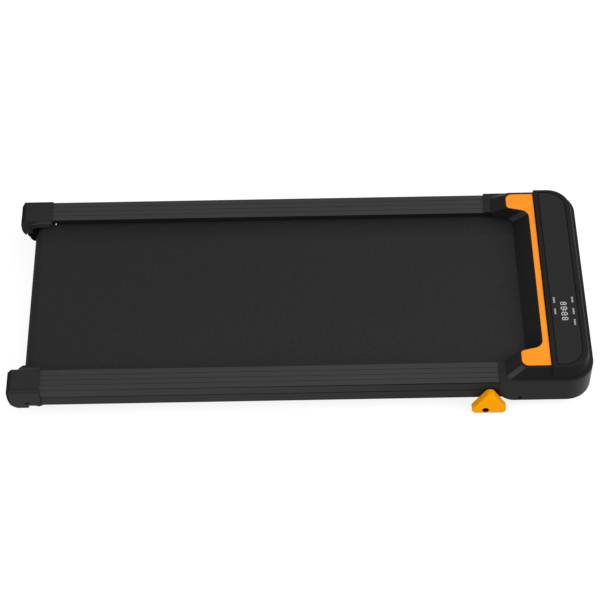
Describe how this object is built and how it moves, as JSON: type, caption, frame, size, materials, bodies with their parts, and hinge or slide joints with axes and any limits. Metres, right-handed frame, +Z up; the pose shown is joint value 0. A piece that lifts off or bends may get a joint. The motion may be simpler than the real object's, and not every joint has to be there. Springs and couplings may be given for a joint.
{
  "type": "walking treadmill",
  "caption": "Flat walking treadmill: grooved side rails, arched rear end caps, low C-shaped motor hood with orange trim and console, turnable incline feet and a driven belt loop.",
  "frame": {"origin": "on the floor under the middle of the treadmill's box", "axes": "+X along the belt towards the motor hood, +Y to the left of a person walking towards the hood, +Z up"},
  "size_m": [1.2024, 0.539, 0.114],
  "materials": {
    "frame_paint": "satin black paint",
    "rail_black": "black anodised, fine lengthwise grooves",
    "cap_plastic": "fine textured black",
    "hood_plastic": "fine textured black",
    "pan_plastic": "moulded black",
    "trim_orange": "smooth orange",
    "foot_orange": "smooth orange",
    "console_gloss": "smooth black",
    "rocker_gloss": "red rocker",
    "belt_rubber": "fine woven and textured black",
    "soft_rubber": "matte black",
    "drive_rubber": "ribbed black",
    "deck_wood": "black faced and waxed fibreboard",
    "bright_steel": "zinc plated",
    "black_steel": "black finish",
    "roller_steel": "turned tube",
    "cast_aluminium": "as cast",
    "pulley_plastic": "moulded black",
    "circuit_board": "green solder mask",
    "standoff_nylon": "moulded",
    "inlet_brass": "plain"
  },
  "bodies": {
    "chassis": {"board_standoffs": "standoff_nylon", "bottom_pan": "pan_plastic", "console_panel": "console_gloss", "control_board": "circuit_board", "control_capacitors": "standoff_nylon", "control_heatsink": "cast_aluminium", "deck_board": "deck_wood", "deck_cushions": "soft_rubber", "deck_screws": "bright_steel", "display_board": "circuit_board", "drive_belt": "drive_rubber", "end_cap_left": "cap_plastic", "end_cap_right": "cap_plastic", "end_cap_screws": "bright_steel", "frame_cross_members": "frame_paint", "frame_side_tube_left": "frame_paint", "frame_side_tube_right": "frame_paint", "front_axle": "bright_steel", "front_axle_bracket_left": "frame_paint", "front_axle_bracket_right": "frame_paint", "hood_base": "hood_plastic", "hood_front_cover": "hood_plastic", "hood_rear_cover": "hood_plastic", "hood_trim": "trim_orange", "incline_bracket_left": "frame_paint", "incline_bracket_right": "frame_paint", "incline_pivot_bolts": "black_steel", "incline_pivot_nuts": "black_steel", "inlet_pins": "inlet_brass", "motor_bearings": "bright_steel", "motor_bolts": "bright_steel", "motor_can": "frame_paint", "motor_end_bells": "cast_aluminium", "motor_plate": "frame_paint", "motor_saddles": "frame_paint", "pan_screws": "bright_steel", "power_inlet": "pan_plastic", "power_switch_frame": "pan_plastic", "rear_axle": "bright_steel", "rear_axle_bracket_left": "frame_paint", "rear_axle_bracket_right": "frame_paint", "rear_feet": "soft_rubber", "side_rail_left": "rail_black", "side_rail_right": "rail_black", "walking_belt": "belt_rubber", "wheel_pins": "black_steel"},
    "front_roller": {"front_roller": "roller_steel", "front_roller_bearings": "bright_steel", "front_roller_pulley": "pulley_plastic"},
    "rear_roller": {"rear_roller": "roller_steel", "rear_roller_bearings": "bright_steel"},
    "motor_rotor": {"motor_shaft": "bright_steel", "motor_pulley": "cast_aluminium"},
    "incline_foot_left": {"incline_foot_left": "foot_orange"},
    "incline_foot_right": {"incline_foot_right": "foot_orange"},
    "transport_wheel_left": {"transport_wheel_left": "soft_rubber"},
    "transport_wheel_right": {"transport_wheel_right": "soft_rubber"},
    "power_rocker": {"power_rocker": "rocker_gloss"},
    "tension_bolt_left": {"tension_bolt_left": "bright_steel"},
    "tension_bolt_right": {"tension_bolt_right": "bright_steel"}
  },
  "joints": [
    {"name": "front_roller_spin", "type": "hinge", "parent": "chassis", "child": "front_roller", "pos_m": [0.49075, 0, 0.052], "axis": [0, 1, 0], "continuous": true},
    {"name": "rear_roller_spin", "type": "hinge", "parent": "chassis", "child": "rear_roller", "pos_m": [-0.54725, 0, 0.052], "axis": [0, 1, 0], "continuous": true},
    {"name": "motor_spin", "type": "hinge", "parent": "chassis", "child": "motor_rotor", "pos_m": [0.55475, 0, 0.0715], "axis": [0, 1, 0], "continuous": true},
    {"name": "incline_foot_left_turn", "type": "hinge", "parent": "chassis", "child": "incline_foot_left", "pos_m": [0.38015, 0.26125, 0.0127], "axis": [0, 1, 0], "range_deg": [-120, 120]},
    {"name": "incline_foot_right_turn", "type": "hinge", "parent": "chassis", "child": "incline_foot_right", "pos_m": [0.38015, -0.26125, 0.0127], "axis": [0, 1, 0], "range_deg": [-120, 120]},
    {"name": "transport_wheel_left_spin", "type": "hinge", "parent": "chassis", "child": "transport_wheel_left", "pos_m": [0.45075, 0.2397, 0.0315], "axis": [0, 1, 0], "continuous": true},
    {"name": "transport_wheel_right_spin", "type": "hinge", "parent": "chassis", "child": "transport_wheel_right", "pos_m": [0.45075, -0.2397, 0.0315], "axis": [0, 1, 0], "continuous": true},
    {"name": "power_rocker_tip", "type": "hinge", "parent": "chassis", "child": "power_rocker", "pos_m": [0.59525, 0.186, 0.058], "axis": [0, 1, 0], "range_deg": [-16, 0]},
    {"name": "tension_bolt_left_turn", "type": "hinge", "parent": "chassis", "child": "tension_bolt_left", "pos_m": [-0.54725, 0.222, 0.052], "axis": [1, 0, 0], "continuous": true},
    {"name": "tension_bolt_right_turn", "type": "hinge", "parent": "chassis", "child": "tension_bolt_right", "pos_m": [-0.54725, -0.222, 0.052], "axis": [1, 0, 0], "continuous": true}
  ],
  "couplings": [
    {"joint": "rear_roller_spin", "follows": "front_roller_spin", "ratio": 1},
    {"joint": "motor_spin", "follows": "front_roller_spin", "ratio": 1.9048}
  ]
}
